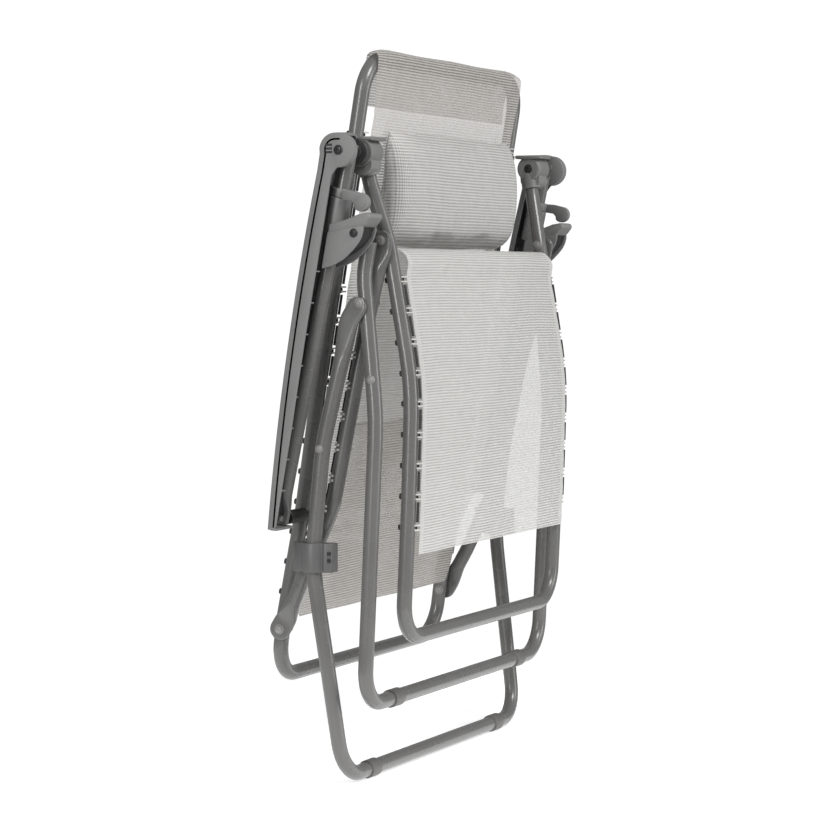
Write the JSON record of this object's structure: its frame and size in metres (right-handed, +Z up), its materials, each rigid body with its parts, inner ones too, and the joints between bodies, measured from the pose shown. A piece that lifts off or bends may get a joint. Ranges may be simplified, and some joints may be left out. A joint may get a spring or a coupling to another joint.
{
  "type": "folding zero gravity recliner",
  "caption": "Folded lounge chair of bent round tube with laced mesh panels, a head pillow, plastic armrests and arm locks, linked so that it unfolds in one motion.",
  "frame": {"origin": "middle of the folded chair's footprint, on the floor", "axes": "+X across the width, +Y towards the back frame's side of the folded chair, +Z up"},
  "size_m": [0.716, 0.2213, 0.9576],
  "materials": {
    "frame_paint": "satin warm grey powder coat",
    "grey_plastic": "fine grained warm grey",
    "black_plastic": "matte black",
    "foot_rubber": "matte grey",
    "rivet_steel": "dull",
    "screw_black": "black oxide",
    "mesh_fabric": "woven coated mesh",
    "pillow_fabric": "woven coated mesh over foam",
    "strap_webbing": "elastic webbing",
    "lace_elastic": "braided elastic cord"
  },
  "bodies": {
    "front_leg": {"front_leg_frame": "frame_paint", "front_foot_pads": "foot_rubber", "leg_apex_rivets": "rivet_steel", "front_leg_splice_rivets": "rivet_steel"},
    "rear_leg": {"rear_leg_frame": "frame_paint", "rear_foot_pads": "foot_rubber", "rear_leg_splice_rivets": "rivet_steel", "fold_clip_left": "grey_plastic", "fold_clip_right": "grey_plastic"},
    "seat": {"seat_bar_left": "frame_paint", "seat_bar_right": "frame_paint", "seat_fabric": "mesh_fabric", "seat_lace_loops": "lace_elastic", "knee_rivets": "rivet_steel", "seat_back_rivets": "rivet_steel"},
    "back": {"back_frame": "frame_paint", "back_fabric": "mesh_fabric", "back_lace_loops": "lace_elastic", "arm_rear_spacers": "black_plastic", "arm_rear_rivets": "rivet_steel"},
    "headrest": {"headrest_pillow": "pillow_fabric", "pillow_strap": "strap_webbing"},
    "legrest": {"legrest_frame": "frame_paint", "legrest_fabric": "mesh_fabric", "legrest_knuckle_left": "grey_plastic", "legrest_knuckle_right": "grey_plastic", "legrest_lace_loops": "lace_elastic", "arm_front_screws": "screw_black"},
    "armrests": {"arm_tube_left": "frame_paint", "arm_tube_right": "frame_paint", "armrest_left": "grey_plastic", "armrest_right": "grey_plastic", "arm_washer_left": "black_plastic", "arm_washer_right": "black_plastic", "arm_tail_rivets": "rivet_steel"},
    "lock_housings": {"lock_housing_left": "grey_plastic", "lock_housing_right": "grey_plastic", "lock_pivot_screws": "screw_black"},
    "lever_left": {"lock_lever_left": "grey_plastic"},
    "lever_right": {"lock_lever_right": "grey_plastic"}
  },
  "joints": [
    {"name": "unfold", "type": "hinge", "parent": "seat", "child": "back", "pos_m": [0, 0.087, 0.198], "axis": [-1, 0, 0], "range_deg": [0, 80]},
    {"name": "seat_swing", "type": "hinge", "parent": "front_leg", "child": "seat", "pos_m": [0, -0.052, 0.628], "axis": [1, 0, 0], "range_deg": [0, 88]},
    {"name": "rear_leg_swing", "type": "hinge", "parent": "front_leg", "child": "rear_leg", "pos_m": [0, -0.052, 0.628], "axis": [1, 0, 0], "range_deg": [0, 72]},
    {"name": "legrest_swing", "type": "hinge", "parent": "seat", "child": "legrest", "pos_m": [0, -0.066, 0.708], "axis": [-1, 0, 0], "range_deg": [0, 83.81]},
    {"name": "armrest_swing", "type": "hinge", "parent": "legrest", "child": "armrests", "pos_m": [0, -0.046, 0.82], "axis": [1, 0, 0], "range_deg": [0, 94.14]},
    {"name": "lock_slide", "type": "slide", "parent": "armrests", "child": "lock_housings", "axis": [0, -0.2101, 0.9777], "range_m": [0, 0.038]},
    {"name": "lever_left_twist", "type": "hinge", "parent": "lock_housings", "child": "lever_left", "pos_m": [-0.325, -0.0355, 0.771], "axis": [0, -0.2101, 0.9777], "range_deg": [0, 18]},
    {"name": "lever_right_twist", "type": "hinge", "parent": "lock_housings", "child": "lever_right", "pos_m": [0.325, -0.0355, 0.771], "axis": [0, -0.2101, 0.9777], "range_deg": [-18, 0]},
    {"name": "headrest_slide", "type": "slide", "parent": "back", "child": "headrest", "axis": [0, -0.1631, 0.9866], "range_m": [0, 0.02]}
  ],
  "couplings": [
    {"joint": "seat_swing", "follows": "unfold", "ratio": 1.1},
    {"joint": "rear_leg_swing", "follows": "unfold", "ratio": 0.9},
    {"joint": "legrest_swing", "follows": "unfold", "ratio": 1.0477},
    {"joint": "armrest_swing", "follows": "unfold", "ratio": 1.1768},
    {"joint": "lock_slide", "follows": "unfold", "m_per_rad": 0.027215}
  ]
}
